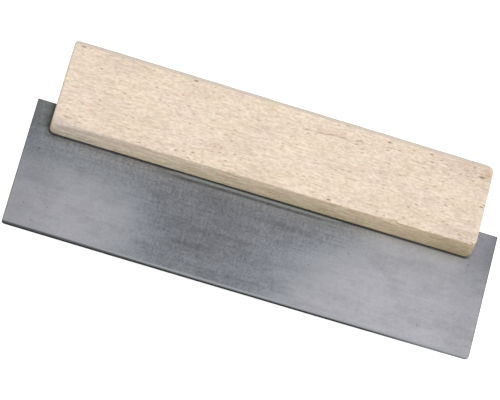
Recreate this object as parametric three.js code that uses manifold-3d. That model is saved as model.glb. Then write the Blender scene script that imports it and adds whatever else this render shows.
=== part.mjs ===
// A squeegee applicator: a thin steel blade bedded in a kerf along the lower edge of a beech handle block.
//
// Millimetres. The tool lies on its back: +X runs along the blade, +Y from the working edge towards the top of
// the handle, and +Z from the back face to the front face. The origin is on the plane of the handle's back face,
// under the middle of the tool's outer box.

import * as THREE from "three";
import { RoundedBoxGeometry } from "three/addons/geometries/RoundedBoxGeometry.js";
import { mergeVertices } from "three/addons/utils/BufferGeometryUtils.js";
import Module from "manifold-3d";

// Driving dimensions.
const BLADE = { length: 200, height: 61.6, thickness: 1, upperCorner: 0.4, lowerCorner: 1.25 };
const HANDLE = { length: 183, height: 40.8, depth: 22, edgeRadius: 1.5, offset: -0.6 };
const GRIP = 14; // how far the blade reaches into the handle
const GLUE = { film: 0.3, beadLength: 80, beadDrop: 2.6, beadRise: 0.6, beadRoot: 0.5 };
const BRAD = { shank: 1.4, head: 2.8, headHeight: 0.7, length: 18, point: 2.2, recess: 0.3, spacing: 65 };
const BRAD_CLEARANCE = { wood: 0.1, glue: 0.1, blade: 0.3 }; // on the radius

// Sizes worked out from them.
const KERF_WIDTH = BLADE.thickness + 2 * GLUE.film;
const KERF_DEPTH = GRIP + GLUE.film;
const FILM_LENGTH = HANDLE.length - 2 * HANDLE.edgeRadius;
const TOTAL_HEIGHT = HANDLE.height + BLADE.height - GRIP;
const BRAD_OFFSETS = { brad_left: -BRAD.spacing, brad_middle: 0, brad_right: BRAD.spacing };

// Places in the handle's own frame, whose origin is the middle of the block.
const HANDLE_BOTTOM = -HANDLE.height / 2;
const HANDLE_BACK = -HANDLE.depth / 2;
const KERF_FLOOR = HANDLE_BOTTOM + KERF_DEPTH;
const BLADE_TOP = HANDLE_BOTTOM + GRIP;
const BRAD_LINE = HANDLE_BOTTOM + GRIP / 2;
const BRAD_BASE = HANDLE_BACK + BRAD.recess;

const CORNER_STEPS = 6; // straight steps in each quarter round
const ROUND_SIDES = 16; // flats round each brad and its hole
const OVERSHOOT = 5; // how far a cutting solid reaches past what it cuts

const MATERIALS = {
  beech: new THREE.MeshStandardMaterial({ color: 0xe8d6c2, roughness: 0.75, metalness: 0 }),
  bladeSteel: new THREE.MeshStandardMaterial({ color: 0x8f9096, roughness: 0.42, metalness: 1 }),
  adhesive: new THREE.MeshStandardMaterial({ color: 0x8b8c7c, roughness: 0.5, metalness: 0 }),
  wireSteel: new THREE.MeshStandardMaterial({ color: 0xa3a4a6, roughness: 0.35, metalness: 1 }),
};

const wasm = await Module();
wasm.setup();

// A closed three.js geometry as a manifold-3d solid.
function solidOf(geometry) {
  const bare = geometry.clone();
  bare.deleteAttribute("normal");
  bare.deleteAttribute("uv");
  const merged = mergeVertices(bare);
  const vertProperties = merged.attributes.position.array;
  const triVerts = new Uint32Array(merged.index.array);
  return new wasm.Manifold(new wasm.Mesh({ numProp: 3, vertProperties, triVerts }));
}

// A manifold-3d solid as a three.js geometry.
function geometryOf(solid) {
  const mesh = solid.getMesh();
  const geometry = new THREE.BufferGeometry();
  geometry.setAttribute("position", new THREE.BufferAttribute(mesh.vertProperties, mesh.numProp));
  geometry.setIndex(new THREE.BufferAttribute(mesh.triVerts, 1));
  geometry.computeVertexNormals();
  return geometry;
}

// A profile drawn in (Y, Z) and carried along X, centred on X = 0.
function alongX(profile, length) {
  const geometry = new THREE.ExtrudeGeometry(profile, {
    depth: length,
    bevelEnabled: false,
    curveSegments: CORNER_STEPS,
  });
  const yzx = new THREE.Matrix4().makeBasis(
    new THREE.Vector3(0, 1, 0),
    new THREE.Vector3(0, 0, 1),
    new THREE.Vector3(1, 0, 0),
  );
  return geometry.applyMatrix4(yzx).translate(-length / 2, 0, 0);
}

// The holes for the three brads: round cutters along Z, from a height in the handle's frame to another.
function bradCutters(radius, from, to) {
  return Object.values(BRAD_OFFSETS).map((x) => {
    const cutter = new THREE.CylinderGeometry(radius, radius, to - from, ROUND_SIDES);
    return solidOf(cutter.rotateX(Math.PI / 2).translate(x, BRAD_LINE, (from + to) / 2));
  });
}

function cutAll(solid, cutters) {
  return cutters.reduce((left, cutter) => left.subtract(cutter), solid);
}

// The block: eased edges, a kerf right through both ends, and blind holes driven from the back.
function handleBlock() {
  const block = solidOf(
    new RoundedBoxGeometry(HANDLE.length, HANDLE.height, HANDLE.depth, CORNER_STEPS / 2, HANDLE.edgeRadius),
  );
  const kerf = new THREE.BoxGeometry(
    HANDLE.length + 2 * OVERSHOOT,
    KERF_DEPTH + OVERSHOOT,
    KERF_WIDTH,
  ).translate(0, KERF_FLOOR - (KERF_DEPTH + OVERSHOOT) / 2, 0);
  const shanks = bradCutters(
    BRAD.shank / 2 + BRAD_CLEARANCE.wood,
    HANDLE_BACK - OVERSHOOT,
    BRAD_BASE + BRAD.length + BRAD_CLEARANCE.wood,
  );
  const heads = bradCutters(
    BRAD.head / 2 + BRAD_CLEARANCE.wood,
    HANDLE_BACK - OVERSHOOT,
    BRAD_BASE + BRAD.headHeight + BRAD_CLEARANCE.wood,
  );
  return geometryOf(cutAll(block.subtract(solidOf(kerf)), [...shanks, ...heads]));
}

// The blade: one flat sheet, with its lower corners rounded more than its upper ones, and three punched holes. Its
// own frame is at its middle.
function bladeSheet() {
  const x = BLADE.length / 2;
  const y = BLADE.height / 2;
  const low = BLADE.lowerCorner;
  const up = BLADE.upperCorner;
  const outline = new THREE.Shape();
  outline.moveTo(-x + low, -y);
  outline.lineTo(x - low, -y);
  outline.absarc(x - low, -y + low, low, -Math.PI / 2, 0, false);
  outline.lineTo(x, y - up);
  outline.absarc(x - up, y - up, up, 0, Math.PI / 2, false);
  outline.lineTo(-x + up, y);
  outline.absarc(-x + up, y - up, up, Math.PI / 2, Math.PI, false);
  outline.lineTo(-x, -y + low);
  outline.absarc(-x + low, -y + low, low, Math.PI, 1.5 * Math.PI, false);
  const holeRadius = BRAD.shank / 2 + BRAD_CLEARANCE.blade;
  const holeHeight = y - GRIP / 2;
  for (const offset of Object.values(BRAD_OFFSETS)) {
    const hole = new THREE.Path();
    hole.absarc(HANDLE.offset + offset, holeHeight, holeRadius, 0, 2 * Math.PI, true);
    outline.holes.push(hole);
  }
  const sheet = new THREE.ExtrudeGeometry(outline, {
    depth: BLADE.thickness,
    bevelEnabled: false,
    curveSegments: CORNER_STEPS,
  });
  return sheet.translate(0, 0, -BLADE.thickness / 2);
}

// The squeezed-out bead in the corner between the block's lower face and one side of the blade. side is +1 for the
// front and -1 for the back. Its root reaches up into the film, so that the two join.
function beadProfile(side) {
  const inner = (side * BLADE.thickness) / 2;
  const wall = inner + side * GLUE.film;
  const outer = inner + side * GLUE.beadRise;
  const lowest = HANDLE_BOTTOM - GLUE.beadDrop;
  const profile = new THREE.Shape();
  profile.moveTo(HANDLE_BOTTOM + GLUE.beadRoot, inner);
  profile.lineTo(HANDLE_BOTTOM + GLUE.beadRoot, wall);
  profile.lineTo(HANDLE_BOTTOM, wall);
  profile.lineTo(HANDLE_BOTTOM, outer);
  profile.quadraticCurveTo(lowest, outer, lowest, inner);
  return profile;
}

// The adhesive: a film on both sides of the blade and over its top edge, with a bead along the middle of each side.
function glueBed() {
  const wall = KERF_WIDTH / 2;
  const face = BLADE.thickness / 2;
  const section = new THREE.Shape();
  section.moveTo(HANDLE_BOTTOM, face);
  section.lineTo(HANDLE_BOTTOM, wall);
  section.lineTo(KERF_FLOOR, wall);
  section.lineTo(KERF_FLOOR, -wall);
  section.lineTo(HANDLE_BOTTOM, -wall);
  section.lineTo(HANDLE_BOTTOM, -face);
  section.lineTo(BLADE_TOP, -face);
  section.lineTo(BLADE_TOP, face);
  const film = solidOf(alongX(section, FILM_LENGTH));
  const front = solidOf(alongX(beadProfile(1), GLUE.beadLength));
  const back = solidOf(alongX(beadProfile(-1), GLUE.beadLength));
  const holes = bradCutters(BRAD.shank / 2 + BRAD_CLEARANCE.glue, HANDLE_BACK, -HANDLE_BACK);
  return geometryOf(cutAll(film.add(front).add(back), holes));
}

// A wire brad: flat head, plain shank, cone point. It starts at Z = 0 with its head and points along +Z.
function bradGeometry() {
  const profile = [
    new THREE.Vector2(0, 0),
    new THREE.Vector2(BRAD.head / 2, 0),
    new THREE.Vector2(BRAD.head / 2, BRAD.headHeight / 2),
    new THREE.Vector2(BRAD.shank / 2, BRAD.headHeight),
    new THREE.Vector2(BRAD.shank / 2, BRAD.length - BRAD.point),
    new THREE.Vector2(0, BRAD.length),
  ];
  return new THREE.LatheGeometry(profile, ROUND_SIDES).rotateX(Math.PI / 2);
}

function part(name, geometry, material) {
  const mesh = new THREE.Mesh(geometry, material);
  mesh.name = name;
  return mesh;
}

const handle = new THREE.Group();
handle.position.set(HANDLE.offset, (TOTAL_HEIGHT - HANDLE.height) / 2, HANDLE.depth / 2);
handle.add(part("handle_block", handleBlock(), MATERIALS.beech));
handle.add(part("glue_bed", glueBed(), MATERIALS.adhesive));
for (const [name, offset] of Object.entries(BRAD_OFFSETS)) {
  const brad = part(name, bradGeometry(), MATERIALS.wireSteel);
  brad.position.set(offset, BRAD_LINE, BRAD_BASE);
  handle.add(brad);
}

const blade = part("blade", bladeSheet(), MATERIALS.bladeSteel);
blade.position.set(0, (BLADE.height - TOTAL_HEIGHT) / 2, HANDLE.depth / 2);

const tool = new THREE.Group();
tool.name = "squeegee_applicator";
tool.add(handle, blade);

export default tool;
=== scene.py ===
import math

import bmesh
import bpy
import numpy as np
from mathutils import Matrix, Vector, noise


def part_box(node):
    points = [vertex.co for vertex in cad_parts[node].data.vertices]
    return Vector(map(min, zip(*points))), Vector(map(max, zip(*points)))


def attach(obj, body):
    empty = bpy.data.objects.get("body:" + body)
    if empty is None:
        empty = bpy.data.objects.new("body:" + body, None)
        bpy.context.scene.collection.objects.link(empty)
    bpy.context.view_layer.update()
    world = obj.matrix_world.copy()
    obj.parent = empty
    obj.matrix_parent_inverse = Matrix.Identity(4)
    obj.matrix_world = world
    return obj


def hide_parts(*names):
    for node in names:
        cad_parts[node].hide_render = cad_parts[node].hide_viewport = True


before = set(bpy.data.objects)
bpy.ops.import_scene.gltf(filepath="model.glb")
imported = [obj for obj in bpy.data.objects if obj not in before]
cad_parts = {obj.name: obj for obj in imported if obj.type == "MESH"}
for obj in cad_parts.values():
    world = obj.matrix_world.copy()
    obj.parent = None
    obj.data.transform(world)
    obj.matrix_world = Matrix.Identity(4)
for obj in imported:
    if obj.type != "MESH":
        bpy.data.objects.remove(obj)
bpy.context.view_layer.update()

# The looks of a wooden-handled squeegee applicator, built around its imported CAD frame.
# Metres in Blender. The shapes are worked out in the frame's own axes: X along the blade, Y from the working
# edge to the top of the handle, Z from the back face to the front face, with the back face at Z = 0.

MM = 0.001
BODY = "root"

handle_low, handle_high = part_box("handle_block")
blade_low, blade_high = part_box("blade")
glue_low, glue_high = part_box("glue_bed")
BRADS = ("brad_left", "brad_middle", "brad_right")
MID_Z = (blade_low.z + blade_high.z) / 2

# The kerf and the film in it, as the CAD has them. Its walls lie one film's thickness off the blade.
FILM = 0.3 * MM
KERF_HALF = (blade_high.z - blade_low.z) / 2 + FILM
KERF_FLOOR = blade_high.y + FILM


# ---------------- camera and studio

SKY_LOW, SKY_HIGH = 0.55, 0.8  # the sky's strength at the horizon and high up
SKY_TOP = 0.9  # the upward part of the direction from which the sky is at its full strength
FLOOR_HALF = 6.0
FLOOR_TONES = (0.60, 0.62)
FLOOR_GLOW = 0.75  # the floor is a light table, which keeps the shadows on it pale
CENTRE = (0, 0, MID_Z)


def place_camera(aim, azimuth, elevation, roll, distance, lens):
    """A camera that looks at aim. Azimuth 0 looks along +Y, and roll turns it anticlockwise. In degrees."""
    a, e = math.radians(azimuth), math.radians(elevation)
    back = Vector((math.sin(a) * math.cos(e), -math.cos(a) * math.cos(e), math.sin(e)))
    level_right = Vector((math.cos(a), math.sin(a), 0))
    level_up = back.cross(level_right)
    r = math.radians(roll)
    right = level_right * math.cos(r) + level_up * math.sin(r)
    up = back.cross(right)
    data = bpy.data.cameras.new("camera")
    data.lens = lens
    data.clip_end = 100
    camera = bpy.data.objects.new("camera", data)
    camera.matrix_world = Matrix((right, up, back)).transposed().to_4x4()
    camera.location = Vector(aim) + back * distance
    bpy.context.scene.collection.objects.link(camera)
    bpy.context.scene.camera = camera


def soft_light(name, place, aim, size, power):
    data = bpy.data.lights.new(name, "AREA")
    data.shape = "SQUARE"
    data.size = size
    data.energy = power
    light = bpy.data.objects.new(name, data)
    light.location = Vector(place)
    light.rotation_mode = "QUATERNION"
    light.rotation_quaternion = (Vector(aim) - Vector(place)).to_track_quat("-Z", "Y")
    bpy.context.scene.collection.objects.link(light)


class Nodes:
    """A short way to write a node tree: each method returns the socket that carries its result."""

    def __init__(self, tree):
        self.tree = tree
        tree.nodes.clear()

    def add(self, kind, output=0, inputs=None, **settings):
        made = self.tree.nodes.new(kind)
        for name, value in settings.items():
            setattr(made, name, value)
        for name, value in (inputs or {}).items():
            self.feed(made.inputs[name], value)
        return made.outputs[output]

    def feed(self, socket, value):
        if isinstance(value, bpy.types.NodeSocket):
            self.tree.links.new(value, socket)
        else:
            socket.default_value = value

    def maths(self, operation, *values, clamp=False):
        inputs = dict(enumerate(values))
        return self.add("ShaderNodeMath", inputs=inputs, operation=operation, use_clamp=clamp)

    def plus(self, a, b):
        return self.maths("ADD", a, b)

    def minus(self, a, b):
        return self.maths("SUBTRACT", a, b)

    def times(self, *values):
        result = values[0]
        for value in values[1:]:
            result = self.maths("MULTIPLY", result, value)
        return result

    def larger(self, a, b):
        return self.maths("MAXIMUM", a, b)

    def smaller(self, a, b):
        return self.maths("MINIMUM", a, b)

    def unsigned(self, value):
        return self.maths("ABSOLUTE", value)

    def length(self, a, b):
        return self.maths("SQRT", self.plus(self.times(a, a), self.times(b, b)))

    def step(self, value, start, end, low=0.0, high=1.0):
        """Low at start and before it, high at end and after it, smooth between. A plain number for start may
        lie after end."""
        if isinstance(start, (int, float)) and start > end:
            start, end, low, high = end, start, high, low
        inputs = {"Value": value, "From Min": start, "From Max": end, "To Min": low, "To Max": high}
        return self.add("ShaderNodeMapRange", inputs=inputs, interpolation_type="SMOOTHSTEP")

    def band(self, value, centre, half, soft):
        """1 within half of centre, falling to 0 a distance soft further out."""
        return self.step(self.unsigned(self.minus(value, centre)), half + soft, half)

    def spot(self, x, y, centre, radii, soft=1.0):
        """1 in the middle of an ellipse and 0 outside it, fading over the outer share soft of its radius."""
        across = self.maths("DIVIDE", self.minus(x, centre[0]), radii[0])
        up = self.maths("DIVIDE", self.minus(y, centre[1]), radii[1])
        return self.step(self.length(across, up), 1.0, 1.0 - soft)

    def outside(self, x, y, low, high, radius):
        """Distance from a rectangle with round corners, in plan: negative inside it. All in millimetres."""
        past = []
        for value, least, most in zip((x, y), low, high):
            away = self.unsigned(self.minus(value, (least + most) / 2))
            past.append(self.minus(away, (most - least) / 2 - radius))
        corner = self.length(*(self.larger(value, 0.0) for value in past))
        inner = self.smaller(self.larger(*past), 0.0)
        return self.minus(self.plus(corner, inner), radius)

    def way_along(self, value, low, high):
        """The share of the way from low to high, from 0 to 1."""
        return self.maths("DIVIDE", self.minus(value, low), high - low, clamp=True)

    def scaled(self, vector, scale, move=(0, 0, 0)):
        inputs = {"Vector": vector, "Scale": scale, "Location": move}
        return self.add("ShaderNodeMapping", inputs=inputs)

    def sized(self, place, sizes, move=(0, 0, 0)):
        """The place, scaled so that a pattern's features come out about as large as sizes, in millimetres."""
        return self.scaled(place, tuple(1 / size for size in sizes), move)

    def noise(self, place, sizes, detail=0.0, roughness=0.5, move=(0, 0, 0), distortion=0.0):
        """Noise from 0 to 1. sizes are about how large its features are along X, Y and Z, in millimetres."""
        inputs = {
            "Vector": self.sized(place, sizes, move),
            "Scale": 1.0,
            "Detail": detail,
            "Roughness": roughness,
            "Distortion": distortion,
        }
        return self.add("ShaderNodeTexNoise", "Fac", inputs)

    def cells(self, place, sizes, move=(0, 0, 0)):
        """Distance to the nearest scattered point, and a random value from 0 to 1 that belongs to it."""
        inputs = {"Vector": self.sized(place, sizes, move), "Scale": 1.0}
        distance = self.add("ShaderNodeTexVoronoi", "Distance", inputs)
        colour = distance.node.outputs["Color"]
        chance = self.add("ShaderNodeSeparateColor", "Red", {"Color": colour})
        return distance, chance

    def strayed(self, place, sizes, reach):
        """The place, moved by a smooth noise of up to reach, whose features are about as large as sizes."""
        inputs = {"Vector": self.sized(place, sizes), "Detail": 1.0}
        stray = self.add("ShaderNodeTexNoise", "Color", inputs)
        stray = self.add("ShaderNodeVectorMath", inputs={0: stray, 1: reach}, operation="MULTIPLY")
        return self.add("ShaderNodeVectorMath", inputs={0: place, 1: stray}, operation="ADD")

    def blend(self, share, a, b, mode="MIX"):
        made = self.tree.nodes.new("ShaderNodeMix")
        made.data_type = "RGBA"
        made.blend_type = mode
        self.feed(made.inputs["Factor"], share)
        for socket, value in zip([s for s in made.inputs if s.type == "RGBA"], (a, b)):
            self.feed(socket, value)
        return next(s for s in made.outputs if s.type == "RGBA")

    def tinted(self, colour, share, factor):
        """The colour, multiplied by factor where share is 1 and left alone where it is 0. factor is one
        number, a (red, green, blue) tuple or a socket."""
        if isinstance(factor, float):
            factor = (factor,) * 3
        if isinstance(factor, tuple):
            factor = (*factor, 1)
        return self.blend(share, colour, factor, "MULTIPLY")

    def split(self, vector):
        return tuple(self.add("ShaderNodeSeparateXYZ", inputs={0: vector}).node.outputs)

    def join(self, x, y, z):
        return self.add("ShaderNodeCombineXYZ", inputs={"X": x, "Y": y, "Z": z})

    def millimetres(self):
        """The point's place in the frame, in millimetres."""
        place = self.add("ShaderNodeTexCoord", "Object")
        return self.scaled(place, (1 / MM,) * 3)

    def facing(self):
        """The three parts of the surface's outward direction."""
        return self.split(self.add("ShaderNodeNewGeometry", "Normal"))

    def send(self, result, kind):
        """Ends the tree: sends the result to an output node of that kind."""
        self.tree.links.new(result, self.tree.nodes.new(kind).inputs[0])

    def surface(self, **inputs):
        inputs = {name.replace("_", " "): value for name, value in inputs.items()}
        self.send(self.add("ShaderNodeBsdfPrincipled", inputs=inputs), "ShaderNodeOutputMaterial")

    def bump(self, height, distance, strength):
        inputs = {"Height": height, "Distance": distance, "Strength": strength}
        return self.add("ShaderNodeBump", "Normal", inputs)


def new_material(name):
    material = bpy.data.materials.new(name)
    material.use_nodes = True
    return material, Nodes(material.node_tree)


def rgb(*levels):
    """A colour given as it looks on screen, 0 to 255, as the linear values that Blender takes."""
    linear = [(c / 255 / 12.92) if c <= 10 else ((c / 255 + 0.055) / 1.055) ** 2.4 for c in levels]
    return (*linear, 1.0)


def build_sky():
    world = bpy.data.worlds.new("studio")
    world.use_nodes = True
    nodes = Nodes(world.node_tree)
    height = nodes.split(nodes.add("ShaderNodeTexCoord", "Generated"))[2]
    sky = nodes.step(height, 0.0, SKY_TOP, SKY_LOW, SKY_HIGH)
    light = nodes.add("ShaderNodeBackground", inputs={"Color": (1, 1, 1, 1), "Strength": sky})
    nodes.send(light, "ShaderNodeOutputWorld")
    bpy.context.scene.world = world


def build_floor():
    floor = bpy.data.objects.new("floor", bpy.data.meshes.new("floor"))
    grid = bmesh.new()
    bmesh.ops.create_grid(grid, x_segments=1, y_segments=1, size=FLOOR_HALF)
    grid.to_mesh(floor.data)
    grid.free()
    bpy.context.scene.collection.objects.link(floor)
    material, nodes = new_material("pale_floor")
    grain = nodes.noise(nodes.millimetres(), (20, 20, 20), 2)
    colour = nodes.blend(grain, *((tone, tone, tone, 1) for tone in FLOOR_TONES))
    nodes.surface(
        Base_Color=colour,
        Roughness=0.9,
        Emission_Color=(1, 1, 1, 1),
        Emission_Strength=FLOOR_GLOW,
    )
    floor.data.materials.append(material)


bpy.context.scene.view_settings.view_transform = "Standard"
place_camera(
    aim=(-3.99 * MM, -0.11 * MM, blade_high.z),
    azimuth=-5.32,
    elevation=59.40,
    roll=21.39,
    distance=2.0729,
    lens=360,
)
build_sky()
build_floor()
soft_light("key", place=(0.75, 0.05, 1.05), aim=CENTRE, size=0.6, power=6.0)
soft_light("fill", place=(-0.4, -1.1, 0.5), aim=CENTRE, size=0.8, power=3.0)


# ---------------- shapes

EDGE_ZONE = 2.2 * MM  # the strip along every edge where a lattice is finer
EDGE_STEPS = 10
ROUND_SIDES = 40  # flats round a brad or a hole
CLEARANCE = MM  # how far a cutting solid reaches past what it cuts


def spread(low, high, spacing):
    """Places from low to high: about spacing apart, and closer and closer towards both ends."""
    edge = EDGE_ZONE * np.linspace(0, 1, EDGE_STEPS, endpoint=False) ** 2
    count = round((high - low - 2 * EDGE_ZONE) / spacing) + 1
    inner = np.linspace(low + EDGE_ZONE, high - EDGE_ZONE, count)
    return np.concatenate([low + edge, inner, (high - edge)[::-1]])


def with_planes(places, planes, near):
    """The same places with the planes put in, and with any place nearer than that to a plane left out."""
    kept = [p for p in places if min(abs(p - q) for q in planes) > near]
    return np.unique(np.array([*kept, *planes]))


def lattice(xs, ys, zs, solid):
    """The outer faces of the cells of a box lattice where solid is true, as (points, quads)."""
    numbers = np.arange(len(xs) * len(ys) * len(zs)).reshape(len(xs), len(ys), len(zs))
    padded = np.pad(solid, 1).astype(int)
    quads = []
    for axis in range(3):
        change = np.moveaxis(np.diff(padded, axis=axis), axis, 0)[:, 1:-1, 1:-1]
        ids = np.moveaxis(numbers, axis, 0)
        flip = axis == 1  # moving Y to the front leaves the other two in mirror order
        for sign in (-1, 1):
            plane, b, c = np.nonzero(change == sign)
            corners = ((b, c), (b + 1, c), (b + 1, c + 1), (b, c + 1))
            quad = np.stack([ids[plane, i, j] for i, j in corners], 1)
            outward = (sign == -1) != flip
            quads.append(quad if outward else quad[:, ::-1])
    quads = np.concatenate(quads)
    used, renumbered = np.unique(quads, return_inverse=True)
    grid = np.stack(np.meshgrid(xs, ys, zs, indexing="ij"), -1).reshape(-1, 3)
    return grid[used], renumbered.reshape(-1, 4)


def bevelled_outline(points, low, high, radius_at):
    """Rounds the four upright edges of a box of points. radius_at gives the radius of each point's corner."""
    plan = points[:, :2]
    radius = radius_at(points)[:, None]
    inner = np.clip(plan, low[:2] + radius, high[:2] - radius)
    reach = plan - inner
    length = np.linalg.norm(reach, axis=1)
    largest = np.abs(reach).max(axis=1)
    scale = np.divide(largest, length, out=np.ones_like(length), where=length > 0)
    moved = points.copy()
    moved[:, :2] = inner + reach * scale[:, None]
    return moved


def outline_inset(points, low, high, radius_at):
    """Each point's distance in from the rounded outline in plan, and the outline's outward direction."""
    radius = radius_at(points)
    middle, half = (low[:2] + high[:2]) / 2, (high[:2] - low[:2]) / 2
    side = np.where(points[:, :2] >= middle, 1.0, -1.0)
    q = np.abs(points[:, :2] - middle) - (half - radius[:, None])
    outer = np.maximum(q, 0)
    corner = np.linalg.norm(outer, axis=1)
    inset = radius - corner - np.minimum(q.max(axis=1), 0)
    flat = (q == q.max(axis=1, keepdims=True)).astype(float)
    direction = np.where((corner > 0)[:, None], outer, flat)
    direction /= np.linalg.norm(direction, axis=1, keepdims=True)
    return inset, direction * side


def rounded(a, b):
    """How much of a square corner's reach is left once it is rounded. a and b are the point's depths into the
    corner's square, each at most the radius."""
    return np.maximum(a, b) / np.hypot(a, b)


def eased_rims(points, low, high, radius_at, rim_at):
    """Rounds the rims of a box's faces at low Z and high Z. rim_at gives the radius at each point."""
    moved = points.copy()
    inset, outward = outline_inset(points, low, high, radius_at)
    for level, up in ((high[2], 1.0), (low[2], -1.0)):
        rim = rim_at(points, outward, up)
        depth = np.abs(points[:, 2] - level)
        a, b = rim - inset, rim - depth
        near = (a > 0) & (b > 0)
        lost = 1 - rounded(a[near], b[near])
        moved[near, :2] -= outward[near] * (a[near] * lost)[:, None]
        moved[near, 2] -= up * b[near] * lost
    return moved


def wobble(points, size, seed):
    """Smooth noise from about -1 to 1 at each point, with features about as large as size."""
    shift = Vector((seed * 17.3, seed * 5.1, seed * 9.7))
    return np.array([noise.noise(Vector(p) / size + shift) for p in points])


def mesh_piece(name, points, faces, material, replaces, sharp_angle):
    """A smooth-shaded piece on the object's one body, with edges sharper than sharp_angle left crisp."""
    mesh = bpy.data.meshes.new(name)
    mesh.from_pydata([tuple(p) for p in points], [], [tuple(int(i) for i in f) for f in faces])
    mesh.validate()
    mesh.materials.append(material)
    piece = bpy.data.objects.new(name, mesh)
    bpy.context.scene.collection.objects.link(piece)
    shade(piece, sharp_angle)
    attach(piece, BODY)
    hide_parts(*replaces)
    return piece


def shade(piece, sharp_angle):
    shape = bmesh.new()
    shape.from_mesh(piece.data)
    for face in shape.faces:
        face.smooth = True
    limit = math.radians(sharp_angle)
    for edge in shape.edges:
        edge.smooth = len(edge.link_faces) == 2 and edge.calc_face_angle() < limit
    shape.to_mesh(piece.data)
    shape.free()


def turned(profile, place):
    """Points and faces of a solid turned about the upright through place. The profile is (radius, height)
    pairs, and starts and ends on the axis."""
    points = [Vector((place[0], place[1], profile[0][1]))]
    rings = []
    for radius, height in profile[1:-1]:
        rings.append(len(points))
        for k in range(ROUND_SIDES):
            turn = 2 * math.pi * k / ROUND_SIDES
            x = place[0] + radius * math.cos(turn)
            y = place[1] + radius * math.sin(turn)
            points.append(Vector((x, y, height)))
    points.append(Vector((place[0], place[1], profile[-1][1])))
    faces = []
    for k in range(ROUND_SIDES):
        after = (k + 1) % ROUND_SIDES
        faces.append((0, rings[0] + after, rings[0] + k))
        for lower, upper in zip(rings, rings[1:]):
            faces.append((lower + k, lower + after, upper + after, upper + k))
        faces.append((rings[-1] + k, rings[-1] + after, len(points) - 1))
    return points, faces


def cut(piece, cutter):
    """Subtracts a closed solid, given as (points, faces), from a piece."""
    points, faces = cutter
    mesh = bpy.data.meshes.new("cutter")
    mesh.from_pydata([tuple(p) for p in points], [], faces)
    tool = bpy.data.objects.new("cutter", mesh)
    bpy.context.scene.collection.objects.link(tool)
    modifier = piece.modifiers.new("cut", "BOOLEAN")
    modifier.operation = "DIFFERENCE"
    modifier.solver = "MANIFOLD"
    modifier.object = tool
    bpy.context.view_layer.update()
    depsgraph = bpy.context.evaluated_depsgraph_get()
    result = bpy.data.meshes.new_from_object(piece.evaluated_get(depsgraph))
    piece.modifiers.clear()
    old = piece.data
    piece.data = result
    bpy.data.meshes.remove(old)
    bpy.data.objects.remove(tool)
    bpy.data.meshes.remove(mesh)


def brad_place(node):
    low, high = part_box(node)
    return (low + high) / 2


def drill_for_brads(piece, profile_at, sharp_angle):
    """Cuts a round hole for each brad. profile_at gives the hole's profile from the brad's node."""
    for node in BRADS:
        cut(piece, turned(profile_at(node), brad_place(node)))
    shade(piece, sharp_angle)


def straight_hole(radius, low, high):
    return ((0, low), (radius, low), (radius, high), (0, high))


# ---------------- handle

WOOD_BOX = np.array(handle_low), np.array(handle_high)

# Radii in millimetres.
HANDLE_CORNERS = {("left", "top"): 2.0, ("right", "top"): 3.2, ("left", "low"): 2.8, ("right", "low"): 3.6}
FRONT_RIMS = {"low": 0.4, "top": 1.3, "end": 0.9}
BACK_RIMS = {"low": 0.7, "top": 1.5, "end": 1.0}
WORN_RIM = 3.3  # the front lower rim at the left end, where it is rounded away
WORN_LENGTH = 40 * MM  # how far along from the left end that goes
RIM_WAVER = 0.3  # the share by which a rim's radius wavers
RIM_WAVES = 6 * MM
WOOD_SHARP = 40  # edges of the wood sharper than this many degrees are left crisp

WOOD_CELLS = (0.75 * MM, 1.0 * MM, 1.0 * MM)  # how far apart the points lie along X, Y and Z
MOUTH = 0.15 * MM  # the kerf's own edges are rounded this much
MOUTH_STEPS = 5
PLANE_GAPS = {"y": 0.4 * MM, "z": 0.3 * MM}  # no point lies nearer than this to the kerf's planes

TOP_TAPER = 0.35 * MM  # the block is planed this much lower at its right end
LOW_SLANT = 0.4 * MM  # and its lower face rises this much from its left end to its right end
LEVEL = 0.9  # the share of the way along where the lower face is at its true height
OUT_OF_SQUARE = 0.35 * MM  # how much it rises from the blade to the front arris
LOW_SHARE = 0.3  # the share of the block's height over which both rises fade out
HOLLOW = 0.05 * MM  # how far the planed faces dip in
HOLLOW_WAVES = 14 * MM
HOLLOW_SKIN = 3 * MM  # points nearer than this to a face go in with it

NICK = 0.55 * MM  # the highest of the small nicks all along the front lower arris
NICK_WAVES = 3.5 * MM
NICK_GAP = 0.2  # where the noise is below this there is no nick
CHIPS = (
    # a splinter's right end along X from the middle, its length, and its height up the front; in millimetres
    (57.0, 8.0, 1.3),
    (-11.0, 3.5, 0.5),
    (28.0, 6.0, 0.45),
    (-45.0, 4.0, 0.5),
    (83.0, 3.5, 0.5),
)
CHIP_END = 0.5 * MM  # how abruptly a splinter ends
CHIP_SLOPE = 1.8  # how much further a chip reaches into the lower face than up the front
CHIP_LEAST = 0.01 * MM  # a chip too small to see, where there is none

SHANK = 0.7 * MM  # a brad's radius
SNUG = 0.05 * MM  # the gap round it in the wood
HEAD_SEAT = 0.75 * MM  # how deep the wider part of a brad's hole goes, from the face of its head
CRUSH = 0.22 * MM  # how deep the wood is pressed in round a brad's head
DIMPLE = 3.2 * MM  # how far from a brad's axis its dimple reaches
DIMPLE_SLOPE = 1.8 * MM  # and the width over which it deepens


def lower_face(x):
    """The height of the block's lower face at x: it is sawn a little out of true."""
    run = (x - handle_low.x) / (handle_high.x - handle_low.x)
    return handle_low.y + LOW_SLANT * (run - LEVEL)


def handle_corner_radius(points):
    middle = np.array((handle_low + handle_high) / 2)
    left, top = points[:, 0] < middle[0], points[:, 1] > middle[1]
    radius = np.zeros(len(points))
    for (side, end), value in HANDLE_CORNERS.items():
        radius[(left == (side == "left")) & (top == (end == "top"))] = value * MM
    return radius


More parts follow.
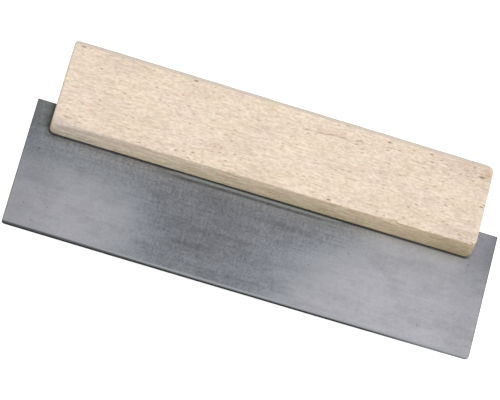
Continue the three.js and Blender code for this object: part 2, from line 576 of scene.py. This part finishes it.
def handle_rim_radius(points, outward, up):
    """Rims differ by side, and waver a little along each, as hand sanding leaves them."""
    rims = FRONT_RIMS if up > 0 else BACK_RIMS
    low = np.full(len(points), rims["low"])
    if up > 0:
        worn = np.clip(1 - (points[:, 0] - handle_low.x) / WORN_LENGTH, 0, 1)
        low += (WORN_RIM - low) * worn**1.5
    towards_low = np.maximum(-outward[:, 1], 0) ** 2
    towards_top = np.maximum(outward[:, 1], 0) ** 2
    rim = towards_low * low + towards_top * rims["top"] + outward[:, 0] ** 2 * rims["end"]
    along = np.column_stack([points[:, :2], np.full(len(points), up * MM)])
    return rim * (1 + RIM_WAVER * wobble(along, RIM_WAVES, seed=1)) * MM


def chip_height(x):
    """How far up the front the chips reach at x."""
    place = np.column_stack([x, np.zeros_like(x), np.zeros_like(x)])
    height = NICK * np.clip(wobble(place, NICK_WAVES, seed=5) - NICK_GAP, 0, 1)
    middle = (handle_low.x + handle_high.x) / 2
    for end, length, most in CHIPS:
        before_end = middle + end * MM - x
        ramp = np.where(before_end > 0, 1 - before_end / (length * MM), 1 + before_end / CHIP_END)
        height = np.maximum(height, most * MM * np.clip(ramp, 0, 1))
    return height


def chip_away(points):
    """Chips along the front lower arris, each a flat facet: small nicks all along it, and splinters that get
    deeper to the right and end abruptly."""
    up_front = np.maximum(chip_height(points[:, 0]), CHIP_LEAST)
    into_low = CHIP_SLOPE * up_front
    depth = (points[:, 1] - handle_low.y) / up_front + (handle_high.z - points[:, 2]) / into_low
    lost = np.clip(1 - depth, 0, 1) / 2
    points[:, 1] += lost * up_front
    points[:, 2] -= lost * into_low


def open_mouth(points):
    """Rounds the two long edges where the kerf meets the block's lower face."""
    a = MOUTH - (points[:, 1] - handle_low.y)
    side = np.sign(points[:, 2] - MID_Z)
    b = MOUTH - (np.abs(points[:, 2] - MID_Z) - KERF_HALF)
    near = (a > 0) & (b > 0)
    lost = 1 - rounded(a[near], b[near])
    points[near, 1] += a[near] * lost
    points[near, 2] += side[near] * b[near] * lost


def press_dimples(points):
    """The wood round each brad's head is crushed into a shallow dimple."""
    on_back = points[:, 2] < handle_low.z + MM
    for node in BRADS:
        place = np.array(brad_place(node))
        away = np.hypot(*(points[:, :2] - place[:2]).T)
        pressed = np.clip((DIMPLE - away) / DIMPLE_SLOPE, 0, 1) ** 2
        points[on_back, 2] += (CRUSH * pressed)[on_back]


def hollow_faces(points, inside):
    """The planed faces aren't quite flat: every point near one, other than inside the kerf, goes in by up to
    a few hundredths."""
    low, high = WOOD_BOX
    middle, half = (low + high) / 2, (high - low) / 2
    inward = -np.sign(points - middle) * (np.abs(points - middle) > half - HOLLOW_SKIN)
    hollow = (0.5 + 0.5 * wobble(points, HOLLOW_WAVES, seed=2)) * HOLLOW
    hollow[inside] = 0
    points += inward * hollow[:, None]


def skew(points):
    """Tapers the top and slants the lower face, which is also out of square in front of the blade."""
    low, high = WOOD_BOX
    run = (points[:, 0] - low[0]) / (high[0] - low[0])
    rise = (points[:, 1] - low[1]) / (high[1] - low[1])
    near_low = np.clip(1 - (points[:, 1] - low[1]) / (LOW_SHARE * (high[1] - low[1])), 0, 1)
    points[:, 1] += (lower_face(points[:, 0]) - low[1]) * near_low - TOP_TAPER * run * rise
    in_front = np.clip((points[:, 2] - MID_Z) / (high[2] - MID_Z), 0, 1)
    points[:, 1] += OUT_OF_SQUARE * near_low * in_front


def handle_lattice():
    low, high = WOOD_BOX
    mouth = KERF_HALF + MOUTH * np.linspace(0, 1, MOUTH_STEPS)
    xs, ys, zs = (spread(low[k], high[k], WOOD_CELLS[k]) for k in range(3))
    ys = with_planes(ys, (KERF_FLOOR,), PLANE_GAPS["y"])
    zs = with_planes(zs, (*(MID_Z - mouth), *(MID_Z + mouth)), PLANE_GAPS["z"])
    cell_y, cell_z = (ys[:-1] + ys[1:]) / 2, (zs[:-1] + zs[1:]) / 2
    empty = (cell_y < KERF_FLOOR)[:, None] & (np.abs(cell_z - MID_Z) < KERF_HALF)[None, :]
    return lattice(xs, ys, zs, np.repeat(~empty[None], len(xs) - 1, axis=0))


def brad_hole(node):
    """The profile of the stepped hole in the wood that a brad was driven into."""
    low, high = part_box(node)
    head = (high.x - low.x) / 2 + SNUG
    shank = SHANK + SNUG
    seat = low.z + HEAD_SEAT
    return (
        (0, low.z - CLEARANCE),
        (head, low.z - CLEARANCE),
        (head, seat),
        (shank, seat),
        (shank, high.z + SNUG),
        (0, high.z + SNUG),
    )


def build_handle(material):
    low, high = WOOD_BOX
    points, quads = handle_lattice()
    inside = (np.abs(points[:, 2] - MID_Z) < KERF_HALF + SNUG) & (points[:, 1] < KERF_FLOOR + SNUG)
    points = bevelled_outline(points, low, high, handle_corner_radius)
    points = eased_rims(points, low, high, handle_corner_radius, handle_rim_radius)
    open_mouth(points)
    chip_away(points)
    press_dimples(points)
    hollow_faces(points, inside)
    skew(points)
    piece = mesh_piece("beech_handle", points, quads, material, ["handle_block"], WOOD_SHARP)
    drill_for_brads(piece, brad_hole, WOOD_SHARP)


# ---------------- blade

BLADE_CORNERS = {"upper": 0.4, "left": 1.25, "right": 1.7}  # the last two are the lower corners
BLADE_RIM = 0.12 * MM
BLADE_CELL = 2 * MM
BLADE_LAYERS = 6  # levels from each face to the middle of the sheet
BLADE_SHARP = 30
HOLE = 1.0 * MM  # the radius of each punched hole
BOW = 0.15 * MM
BOW_WAVES = 55 * MM
EDGE_WEAR = 1.35 * MM  # how much of the working edge is worn away at the right end, from nothing at the left
EDGE_HOLLOW = 0.05 * MM
EDGE_WAVES = 4 * MM


def blade_corner_radius(points):
    middle = (blade_low + blade_high) / 2
    lower = np.where(points[:, 0] < middle.x, BLADE_CORNERS["left"], BLADE_CORNERS["right"])
    return np.where(points[:, 1] > middle.y, BLADE_CORNERS["upper"], lower) * MM


def blade_rim_radius(points, _outward, _up):
    """The same all round, on both faces."""
    return np.full(len(points), BLADE_RIM)


def build_blade(material):
    low, high = np.array(blade_low), np.array(blade_high)
    xs, ys = (spread(low[k], high[k], BLADE_CELL) for k in range(2))
    rise = (high[2] - low[2]) / 2 * np.linspace(0, 1, BLADE_LAYERS) ** 2
    zs = np.concatenate([low[2] + rise[:-1], (high[2] - rise)[::-1]])
    points, quads = lattice(xs, ys, zs, np.ones((len(xs) - 1, len(ys) - 1, len(zs) - 1), bool))
    points = bevelled_outline(points, low, high, blade_corner_radius)
    points = eased_rims(points, low, high, blade_corner_radius, blade_rim_radius)

    # Thin sheet never lies quite flat: it bows by about a tenth of a millimetre once clear of the handle.
    free = np.clip((handle_low.y - points[:, 1]) / (handle_low.y - low[1]), 0, 1)
    plan = points * np.array([1, 1, 0])
    points[:, 2] += BOW * free**1.5 * wobble(plan, BOW_WAVES, seed=3)

    # The working edge has worn slightly out of square, and a little hollow in places.
    run = (points[:, 0] - low[0]) / (high[0] - low[0])
    at_edge = np.clip(1 - (points[:, 1] - low[1]) / MM, 0, 1)
    hollow = at_edge * EDGE_HOLLOW * (0.5 + 0.5 * wobble(plan, EDGE_WAVES, seed=4))
    points[:, 1] += EDGE_WEAR * run**2 * free + hollow

    piece = mesh_piece("steel_blade", points, quads, material, ["blade"], BLADE_SHARP)
    hole = straight_hole(HOLE, low[2] - CLEARANCE, high[2] + CLEARANCE)
    drill_for_brads(piece, lambda node: hole, BLADE_SHARP)


# ---------------- adhesive and brads

RECESS = 1.0 * MM  # how far the film stops short of the kerf's mouth
SKIN = 0.05 * MM  # the adhesive left on the blade between the mouth and the ridge that was wiped down from it
FILM_END = (
    # how far above the mouth, as a share of the recess, and the height over the blade there
    (1.0, FILM * 0.96),
    (0.8, FILM * 0.5),
    (0.6, SKIN),
)
RIDGE_START, RIDGE_END = 1.05 * MM, 1.65 * MM  # below the wood
RIDGE_RISE = 0.2 * MM
RIDGE_HALF = 40 * MM  # the ridge's length to each side of the middle
RIDGE_TAIL = 3 * MM  # how far past that its last trace reaches
RIDGE_FADE = 12 * MM  # the length over which it fades out
RIDGE_STEPS = 8
RIDGE_WAVES, RIPPLE_WAVES = 9 * MM, 1.6 * MM
GLUE_STATIONS = 281  # sections along X
GLUE_SHARP = 50
BRAD_SHARP = 35
GLUE_FIT = 0.2 * SNUG  # the film's gap to the wood


def ridge_reach(x):
    """1 along the ridge, falling to 0 past its ends, where the adhesive stays inside the kerf."""
    middle = (glue_low.x + glue_high.x) / 2
    share = max(0.0, min(1.0, (RIDGE_HALF + RIDGE_TAIL - abs(x - middle)) / RIDGE_FADE))
    return share * share * (3 - 2 * share)


def ridge_size(x, side, reach):
    """The ridge's size, up to 1: it wavers slowly along its length, with a finer ripple."""
    waver = 0.85 + 0.3 * noise.noise(Vector((x / RIDGE_WAVES, side * 4.0, 0.3)))
    ripple = 0.1 * noise.noise(Vector((x / RIPPLE_WAVES, side * 7.0, 2.1)))
    return min(1.0, reach * (waver + ripple))


def ridge_section(x, side):
    """The adhesive's outer surface on one side of the blade, as (y, height over the blade) from inside the
    kerf down to where it runs out on the blade."""
    mouth = lower_face(x)
    reach = ridge_reach(x)
    size = ridge_size(x, side, reach)
    curve = [(mouth + above * RECESS, height) for above, height in FILM_END]
    drop = reach * (0.5 * RECESS + 0.9 * RIDGE_START)
    curve.append((mouth + 0.5 * RECESS - drop, SKIN * (0.5 + 0.5 * reach)))
    for k in range(RIDGE_STEPS + 1):
        share = k / RIDGE_STEPS
        bulge = math.sin(math.pi * share**0.8) ** 0.7 if 0 < share < 1 else 0.0
        below = RIDGE_START + (RIDGE_END - RIDGE_START) * (0.6 + 0.4 * size) * share
        inner = mouth + (0.4 - 0.2 * share) * RECESS
        height = SKIN * 0.5 * (1 - share) + RIDGE_RISE * size * bulge
        curve.append((inner + (mouth - below - inner) * reach, height))
    return curve


def glue_section(x):
    """One closed outline of the adhesive across X, as (y, z)."""
    face, wall, top = KERF_HALF - FILM, KERF_HALF - GLUE_FIT, KERF_FLOOR - GLUE_FIT
    section = [
        (top, -wall),
        (top, wall),
        *[(y, face + height) for y, height in ridge_section(x, 1)],
        (blade_high.y, face),
        (blade_high.y, -face),
        *[(y, -face - height) for y, height in reversed(ridge_section(x, -1))],
    ]
    return [(y, MID_Z + z) for y, z in section]


def build_glue(material):
    points, rings = [], []
    for x in np.linspace(glue_low.x, glue_high.x, GLUE_STATIONS):
        section = glue_section(x)
        rings.append(range(len(points), len(points) + len(section)))
        points += [Vector((x, y, z)) for y, z in section]
    faces = [tuple(reversed(rings[0])), tuple(rings[-1])]
    count = len(rings[0])
    for before, after in zip(rings, rings[1:]):
        for k in range(count):
            following = (k + 1) % count
            faces.append((before[k], before[following], after[following], after[k]))
    name = "glue_film_and_ridge"
    piece = mesh_piece(name, points, faces, material, ["glue_bed"], GLUE_SHARP)
    hole = straight_hole(SHANK + SNUG, 0, handle_high.z)
    drill_for_brads(piece, lambda node: hole, GLUE_SHARP)


def build_brad(node, material):
    """A wire brad: a flat head with a rolled rim, a short neck, a plain shank and a cone point."""
    low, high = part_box(node)
    head = (high.x - low.x) / 2
    profile = (
        (0, low.z),
        (0.8 * head, low.z),
        (0.95 * head, low.z + 0.05 * MM),
        (head, low.z + 0.16 * MM),
        (0.98 * head, low.z + 0.36 * MM),
        (1.2 * SHANK, low.z + 0.62 * MM),
        (SHANK, low.z + 0.85 * MM),
        (SHANK, high.z - 2.2 * MM),
        (0.12 * SHANK, high.z - 0.1 * MM),
        (0, high.z),
    )
    points, faces = turned(profile, brad_place(node))
    mesh_piece("wire_" + node, points, faces, material, [node], BRAD_SHARP)


# ---------------- materials

# Places and sizes in the materials are in millimetres. A tint multiplies the colour under it.
LEFT, FOOT = handle_low.x / MM, handle_low.y / MM
RIGHT, TOP = handle_high.x / MM, handle_high.y / MM
WOOD_LOW, WOOD_HIGH = (LEFT, FOOT), (RIGHT, TOP)
BLADE_LOW = (blade_low.x / MM, blade_low.y / MM)
BLADE_HIGH = (blade_high.x / MM, blade_high.y / MM)
EVEN = math.inf  # the size of a pattern's features along a direction in which it doesn't change
JOINT_SHADE = (0.85, 0.2)  # the painted shade along the joint: how far it reaches below the wood, and its fade

# ---- beech

YELLOWER, PINKER = rgb(232, 215, 193), rgb(233, 213, 195)
HEART = (-6.0, -34.0)  # the middle of the growth layers, in Y and Z
LAYER = 3.6  # how far apart they are
LAYER_WANDER = 5.0  # how many layers' thickness they wander by
LATE_WOOD = (0.86, 0.82, 0.78)
WARMTH = (1.12, 1.25)  # how much faster green and blue fall than red where the fibres are darker
RAYS = (
    # size, place in the pattern, fade at the rim, what crowding adds to the chance, the chances between which
    # a ray comes to show, and its tint
    ((3.0, 1.1, 1.3), (0, 0, 0), (0.36, 0.14), 0.3, (0.5, 1.1), (0.66, 0.61, 0.56)),
    ((6.0, 2.4, 3.0), (11.3, 2.2, 5.8), (0.23, 0.09), 0.55, (0.90, 1.10), (0.46, 0.38, 0.31)),
)
LINE_HEIGHT, LINE_SLOPE, LINE_WANDER = 31.3, 0.1, 3.2  # one thin dark layer on the front
LINE_HALF, LINE_SOFT = 0.06, 0.38
LINE_SPAN = (23, 12, 6)  # its middle, half length and fade along X
LINE_TINT = (0.68, 0.61, 0.54)
FRONT_MARKS = (
    # the middle and the half width and height of each mark, its softness, its strength and its colour: resin
    # by the upper right corner and a fleck beside it, then a grey patch on the lower left corner and two
    # flecks
    ((RIGHT - 1.6, TOP - 5.6), (2.6, 3.6), 0.9, 0.65, rgb(210, 180, 148)),
    ((RIGHT - 3.8, TOP - 7.6), (2.4, 1.0), 0.8, 0.80, rgb(132, 118, 102)),
    ((LEFT + 3.2, FOOT + 0.8), (6.0, 2.6), 0.9, 0.80, rgb(196, 181, 166)),
    ((LEFT + 6.0, FOOT + 3.0), (3.4, 0.5), 0.9, 0.75, rgb(150, 136, 118)),
    ((LEFT + 11.5, FOOT + 2.2), (2.6, 0.4), 0.9, 0.70, rgb(158, 144, 126)),
)
LOWER_FACE_TINTS = (
    # the direction along which a tint changes, where it starts, where it is full, and the tint
    ("x", -80, 60, (0.88, 0.86, 0.76)),
    ("x", 30, 90, (0.87, 0.87, 0.82)),
    ("x", -55, -85, (0.88, 0.93, 0.98)),
    # this last one is painted shade towards the blade
    ("z", 21, 12, (0.88, 0.90, 0.85)),
)
SAWN_STREAK = (0.80, 0.76, 0.71)
WORN_CORNER = (0.88, 0.87, 0.87)
# Painted shade on the rounded front rims, along the top and on the ends.
TOP_RIM_SHADE, END_RIM_SHADE = rgb(204, 193, 182), rgb(200, 194, 187)
END_GRAIN, END_LAYER = (0.84, 0.79, 0.72), (0.84, 0.78, 0.72)


def ray_crowding(n, x, y, top_y, low_y, face_z):
    """Where the rays crowd on the front and the back: along both long edges, at the right end, in the upper
    right, and most at the right rim."""
    crowd = n.larger(n.step(low_y, FOOT + 6, FOOT + 1), n.step(top_y, TOP - 6, TOP - 2))
    crowd = n.larger(n.times(crowd, 0.8), n.step(x, RIGHT - 40, RIGHT - 6))
    crowd = n.larger(crowd, n.times(n.step(x, 0, 60), n.step(y, TOP - 17, TOP - 7)))
    crowd = n.plus(crowd, n.step(x, RIGHT - 4, RIGHT - 2, 0.0, 0.5))
    return n.times(crowd, n.step(n.unsigned(face_z), 0.2, 0.6))


def sawn_face(n, base, place, lower, axes):
    """The sawn lower face is browner, the more so towards the right, and darker with painted shade towards
    the blade, with streaks along it.
    """
    for axis, start, full, tint in LOWER_FACE_TINTS:
        base = n.tinted(base, n.times(lower, n.step(axes[axis], start, full)), tint)
    streak = n.noise(place, (11, 0.9, 0.9), 3, 0.6)
    return n.tinted(base, n.times(lower, n.step(streak, 0.48, 0.66)), SAWN_STREAK)


def beech():
    material, n = new_material("beech")
    place = n.millimetres()
    x, y, z = n.split(place)
    face_x, face_y, face_z = n.facing()

    # Heights that follow the tapered top and the slanting lower face.
    run = n.way_along(x, LEFT, RIGHT)
    top_y = n.plus(y, n.times(run, TOP_TAPER / MM))
    low_y = n.minus(y, n.times(n.minus(run, LEVEL), LOW_SLANT / MM))

    # Broad drifts between a yellower and a pinker tone, and paler and darker patches.
    drift = n.noise(place, (12, 8, 8), 3, 0.6)
    base = n.blend(n.step(drift, 0.36, 0.64), YELLOWER, PINKER)
    patch = n.noise(place, (20, 12, 12), 3, 0.5, (5.2, 1.1, 8.3))
    base = n.tinted(base, n.step(patch, 0.38, 0.7), 0.95)

    # Growth layers round a far-off heart: long faint lines on the faces, arcs on the ends.
    bend = n.noise(place, (60, 14, 14), 2, 0.5, (3.1, 0.4, 1.7))
    radius = n.length(n.minus(y, HEART[0]), n.minus(z, HEART[1]))
    layer = n.maths("FRACT", n.plus(n.times(radius, 1 / LAYER), n.times(bend, LAYER_WANDER)))
    late = n.times(n.step(layer, 0.55, 0.93), n.step(layer, 1.0, 0.94))
    base = n.tinted(base, n.times(late, 0.35), LATE_WOOD)

    # Fibres along the grain and a speckle across them, which shade the wood and warm it, and hair-thin pores.
    fibre = n.noise(place, (4.4, 0.95, 0.95))
    speckle = n.noise(place, (1.35, 0.8, 0.8), move=(4.4, 7.7, 1.2))
    shade = n.times(n.step(fibre, 0.26, 0.74, 1.055, 0.94), n.step(speckle, 0.26, 0.74, 1.065, 0.93))
    warmer = [n.maths("POWER", shade, power) for power in WARMTH]
    base = n.tinted(base, 1.0, n.join(shade, *warmer))
    hair = n.noise(place, (2.6, 0.16, 0.16), 2)
    base = n.tinted(base, n.step(hair, 0.5, 0.8), 0.88)

    # Rays: short dark dashes along the grain, small ones and a few large ones, but none on the sawn face.
    bent = n.strayed(place, (2.5, 1.5, 1.5), (0.7, 0.3, 0.3))
    crowd = ray_crowding(n, x, y, top_y, low_y, face_z)
    unsawn = n.step(face_y, -0.8, -0.35)
    rays = []
    for sizes, move, fade, favour, chances, tint in RAYS:
        distance, chance = n.cells(bent, sizes, move)
        shown = n.step(n.plus(chance, n.times(crowd, favour)), *chances)
        rays.append(n.times(n.step(distance, *fade), shown, unsawn))
        base = n.tinted(base, rays[-1], tint)

    # One thin dark layer that wanders along the upper middle of the front, broken up by the fibres.
    wave = n.noise(place, (6, EVEN, EVEN), 3, 0.6)
    course = n.plus(n.times(x, LINE_SLOPE), n.times(wave, LINE_WANDER))
    line = n.band(n.minus(y, course), LINE_HEIGHT, LINE_HALF, LINE_SOFT)
    line = n.times(line, n.band(x, *LINE_SPAN), n.step(fibre, 0.44, 0.58), n.step(z, 17, 19))
    base = n.tinted(base, line, LINE_TINT)

    # The marks on the front, with their outlines wandering a little with the fibres.
    front = n.step(face_z, 0.6, 0.9)
    ragged = n.plus(x, n.times(fibre, 1.5))
    for centre, radii, soft, share, colour in FRONT_MARKS:
        mark = n.spot(ragged, y, centre, radii, soft)
        base = n.blend(n.times(mark, front, share), base, colour)

    # The right end is a little darker, most of all at its corners.
    base = n.tinted(base, n.step(x, 10, 60), 0.965)
    worn = n.larger(n.step(top_y, TOP - 15, TOP - 6), n.step(low_y, FOOT + 10, FOOT + 3))
    base = n.tinted(base, n.times(worn, n.step(x, RIGHT - 24, RIGHT - 8)), WORN_CORNER)

    base = sawn_face(n, base, place, n.step(face_y, -0.35, -0.7), {"x": x, "z": z})

    # The front rims of the top and of the ends are grey with painted shade, where they turn away from the
    # light.
    on_front = n.step(n.plus(z, n.times(fibre, 2.4)), 19.5, 22.5)
    top_rim_shading = n.times(n.step(top_y, TOP - 2.5, TOP - 1.9), on_front, n.step(speckle, 0.25, 0.7, 0.95, 0.75))
    base = n.blend(top_rim_shading, base, TOP_RIM_SHADE)
    rims = n.times(n.step(n.unsigned(face_x), 0.12, 0.45), n.step(low_y, FOOT + 1, FOOT + 6))
    base = n.blend(n.times(rims, on_front, 0.45), base, END_RIM_SHADE)

    # End grain soaks up more and looks darker.
    ends = n.step(n.unsigned(face_x), 0.75, 0.95)
    base = n.tinted(base, ends, END_GRAIN)
    base = n.tinted(base, n.times(ends, late), END_LAYER)

    small, large = rays
    height = n.minus(n.plus(n.times(fibre, -1.3), n.times(hair, 0.5)), n.times(small, 0.8))
    normal = n.bump(n.minus(height, large), 0.05 * MM, 0.6)
    roughness = n.step(fibre, 0.3, 0.7, 0.62, 0.8)
    n.surface(Base_Color=base, Roughness=roughness, Normal=normal, Specular_IOR_Level=0.3)
    return material


# ---- blade steel

# The blade's painted reflection tones, then the colours of the scratches and of the dressed strip.
STEEL_DARK, STEEL_FLANK, STEEL_BRIGHT = rgb(168, 171, 178), rgb(173, 179, 186), rgb(213, 212, 219)
STEEL_SCRATCH, STEEL_DRESSED = rgb(196, 200, 205), rgb(167, 170, 176)
# Lighter and darker patches in the painted reflections.
SOFT_PATCHES = (
    # the middle of each, its half width and height, and its tint
    ((-22, -26), (24, 10), 0.86),
    ((-16, -8), (42, 26), 0.87),
    ((9, -16), (20, 12), 1.14),
)
DARK_SMEARS = (
    # the middle of each, and its half width and height
    ((-24, -29), (13, 2.0)),
    ((-14, -21), (20, 1.5)),
)
LEFT_SHOULDER_SHADE, RIGHT_SHOULDER_SHADE = (0.88, 0.90, 0.86), (0.70, 0.69, 0.715)  # painted shade on the blade beside the block
# the tint of a greenish painted shadow of the block on the blade beside its left end
CORNER_SHADOW = (0.52, 0.60, 0.52)
DARK_LINE_DROP = 1.0  # how far the dark line lies below the adhesive's ridge
DARK_LINE_SPAN = (-6, 25, 18)  # its middle, half length and fade along X
DARK_LINE_TINT = (0.43, 0.46, 0.47)


def steel_reflections(n, place, x, y):
    """The blade's broad tones, painted reflections: a darker stretch left of the middle, bluer flanks, and a
    brighter plateau on each side that fades to the wood. Also gives X bent by a noise, and the tone, 0 where
    it is dark."""
    warp = n.noise(place, (30, 14, 1), 2, 0.5)
    along = n.plus(x, n.times(n.minus(warp, 0.5), 7.0))
    left = n.times(n.step(along, -23, -69), n.step(y, 7.0, -28.0, 0.08, 0.78))
    start = n.larger(n.plus(n.times(y, 1.8), 24.0), -10.0)
    end = n.smaller(n.plus(n.times(y, 0.5), 72.0), 62.0)
    right = n.times(n.step(along, start, end), n.step(y, 6.0, -34.0, 0.58, 1.07))
    tone = n.plus(left, right)
    base = n.blend(n.step(tone, 0.0, 0.35), STEEL_DARK, STEEL_FLANK)
    base = n.blend(n.step(tone, 0.05, 1.1), base, STEEL_BRIGHT)
    for centre, radii, tint in SOFT_PATCHES:
        base = n.tinted(base, n.spot(along, y, centre, radii), tint)
    return base, along, tone


def joint_shade_and_line(n, base, place, x, low_y, below, smudge, grain):
    """Painted shade along the joint, which rounds the block's left corner, a greenish painted shadow beside
    that corner, and a dark line below the wiped adhesive. below is the distance from the block's outline."""
    # A greenish painted shadow beside the block's left end.
    corner_shadow = n.times(n.step(below, 3.5, 0.3), n.step(low_y, FOOT, FOOT + 4), n.step(x, 0, -50))
    base = n.tinted(base, corner_shadow, CORNER_SHADOW)
    # Painted shade along the joint and round the block's left end.
    joint_shading = n.step(below, JOINT_SHADE[0] + JOINT_SHADE[1], JOINT_SHADE[0] - JOINT_SHADE[1])
    joint_shading = n.times(joint_shading, n.step(low_y, FOOT + 3, FOOT + 0.5, 0.45, 1.0), n.step(x, 92, 88))
    base = n.tinted(base, n.times(joint_shading, n.step(x, -80, -20, 0.84, 1.0)), 0.30)
    # A dark line below the adhesive's ridge, broken up along its length.
    dark_line = n.plus(below, n.times(n.minus(smudge, 0.5), 0.9))
    dark_line = n.band(dark_line, RIDGE_END / MM + DARK_LINE_DROP, 0.3, 0.6)
    blot = n.noise(place, (4.5, EVEN, EVEN), 3, 0.6)
    dark_line = n.times(dark_line, n.band(x, *DARK_LINE_SPAN), n.step(blot, 0.3, 0.55, 0.55, 1.0))
    return n.tinted(base, n.times(dark_line, n.step(grain, 0.7, 0.45)), DARK_LINE_TINT)


def working_edge(n, base, x, y):
    """A strip dressed to an even grey, and along the working edge a dark burred rim with painted shade,
    widest at the left and fading towards the right. Then the sheared rims all round the blade: dark, and
    rolled over a little onto the faces, with painted shade on the edge faces themselves."""
    free = n.way_along(y, FOOT, BLADE_LOW[1])
    way = n.way_along(x, BLADE_LOW[0], BLADE_HIGH[0])
    unworn = n.minus(y, n.times(way, way, free, EDGE_WEAR / MM))
    from_edge = n.minus(unworn, BLADE_LOW[1])
    base = n.blend(n.times(n.step(from_edge, 1.9, 1.4), 0.8), base, STEEL_DRESSED)
    # The dark burred rim and its painted shade are strongest at the left and fade to the right.
    burr_and_shade = n.step(x, 90, 45, 0.22, 1.0)
    dark_reach = n.step(x, -90, -10, 1.5, 0.95)
    base = n.tinted(base, n.times(n.step(n.minus(from_edge, dark_reach), 0.0, -0.8), burr_and_shade), 0.28)
    inside = n.outside(x, unworn, BLADE_LOW, BLADE_HIGH, BLADE_CORNERS["left"])
    base = n.tinted(base, n.step(inside, -0.5, -0.15), 0.6)
    return n.tinted(base, n.times(n.step(inside, -0.14, -0.04), burr_and_shade), 0.12)


def blade_steel():
    material, n = new_material("blade_steel")
    place = n.millimetres()
    x, y = n.split(place)[:2]
    base, along, tone = steel_reflections(n, place, x, y)

    # Smudges and specks all over, and rolling streaks, a fine grain and faint upright scratches that are
    # strongest in the dark stretch.
    middle = n.step(tone, 0.6, 0.1)
    smudge = n.noise(place, (11, 6, 1), 5, 0.62)
    base = n.tinted(base, n.step(smudge, 0.4, 0.7), 0.87)
    streak = n.noise(place, (26, 0.9, 1), 3, 0.6)
    base = n.tinted(base, n.times(n.step(streak, 0.42, 0.68), n.plus(n.times(middle, 0.6), 0.25)), 0.83)
    grain = n.noise(place, (0.8, 0.95, 1), 3, 0.6)
    base = n.tinted(base, n.times(n.step(grain, 0.35, 0.75), n.plus(n.times(middle, 0.6), 0.32)), 0.64)
    scratch = n.noise(place, (0.55, 6, 1), 2, 0.5, (0.7, 3.3, 0), distortion=0.4)
    base = n.tinted(base, n.times(n.step(scratch, 0.48, 0.7), n.plus(n.times(middle, 0.7), 0.15)), 0.90)
    base = n.blend(n.times(n.step(scratch, 0.42, 0.28), middle, 0.22), base, STEEL_SCRATCH)
    specks, chance = n.cells(place, (5, 4, 1), (2.7, 9.1, 0.3))
    base = n.tinted(base, n.times(n.step(specks, 0.12, 0.05), n.step(chance, 0.55, 0.9)), 0.62)
    for centre, radii in DARK_SMEARS:
        smear = n.times(n.spot(along, y, centre, radii, 0.8), n.step(streak, 0.3, 0.5))
        base = n.tinted(base, smear, 0.82)

    # Darker towards both ends, painted shade on the corners beside the block, and a painted highlight by the
    # wood that lightens the block's shade there.
    run = n.way_along(x, LEFT, RIGHT)
    low_y = n.minus(y, n.times(n.minus(run, LEVEL), LOW_SLANT / MM))
    below = n.outside(x, low_y, WOOD_LOW, WOOD_HIGH, HANDLE_CORNERS[("left", "low")])
    base = n.tinted(base, n.step(n.unsigned(x), 76, 97), 0.86)
    # Painted shade on the blade beside both ends of the block.
    base = n.tinted(base, n.times(n.step(x, -84, -92), n.step(y, -2.0, 6.0)), LEFT_SHOULDER_SHADE)
    base = n.tinted(base, n.times(n.step(x, 84, 92), n.step(y, -9.0, 5.0)), RIGHT_SHOULDER_SHADE)
    # Painted highlight by the wood: the blade is darkened more than a few millimetres away from the block.
    base = n.tinted(base, n.step(below, 1.5, 12.0), 0.74)

    base = joint_shade_and_line(n, base, place, x, low_y, below, smudge, grain)
    base = working_edge(n, base, x, y)
    roughness = n.step(smudge, 0.3, 0.7, 0.46, 0.56)
    normal = n.bump(n.plus(n.times(streak, 0.5), grain), 0.012 * MM, 0.5)
    n.surface(Base_Color=base, Metallic=1.0, Roughness=roughness, Normal=normal)
    return material


# ---- adhesive and wire steel

GLUE_TONES = (rgb(117, 123, 121), rgb(147, 152, 149))
# The tint of the painted shade on the adhesive in the joint's mouth.
GLUE_SHADE = (0.13, 0.125, 0.115)
WIRE_BRIGHT, WIRE_DULL = rgb(176, 176, 178), rgb(120, 120, 122)


def adhesive():
    material, n = new_material("adhesive")
    place = n.millimetres()
    y = n.split(place)[1]
    cloud = n.noise(place, (1.25, 1.25, 1.25), 3, 0.6)
    base = n.blend(cloud, *GLUE_TONES)
    # Black with the joint's painted shade down to where that ends.
    depth = n.minus(FOOT, y)
    in_joint_shade = n.step(depth, JOINT_SHADE[0] + JOINT_SHADE[1], JOINT_SHADE[0] - 0.5 * JOINT_SHADE[1])
    base = n.tinted(base, in_joint_shade, GLUE_SHADE)
    n.surface(Base_Color=base, Roughness=0.4, Normal=n.bump(cloud, 0.05 * MM, 0.4))
    return material


def wire_steel():
    material, n = new_material("wire_steel")
    wear = n.noise(n.millimetres(), (0.625, 0.625, 0.625), 4, 0.65)
    base = n.blend(n.step(wear, 0.35, 0.7), WIRE_BRIGHT, WIRE_DULL)
    roughness = n.step(wear, 0.3, 0.7, 0.3, 0.5)
    n.surface(Base_Color=base, Metallic=1.0, Roughness=roughness, Normal=n.bump(wear, 0.03 * MM, 0.5))
    return material


build_handle(beech())
build_blade(blade_steel())
build_glue(adhesive())
wire = wire_steel()
for brad in BRADS:
    build_brad(brad, wire)
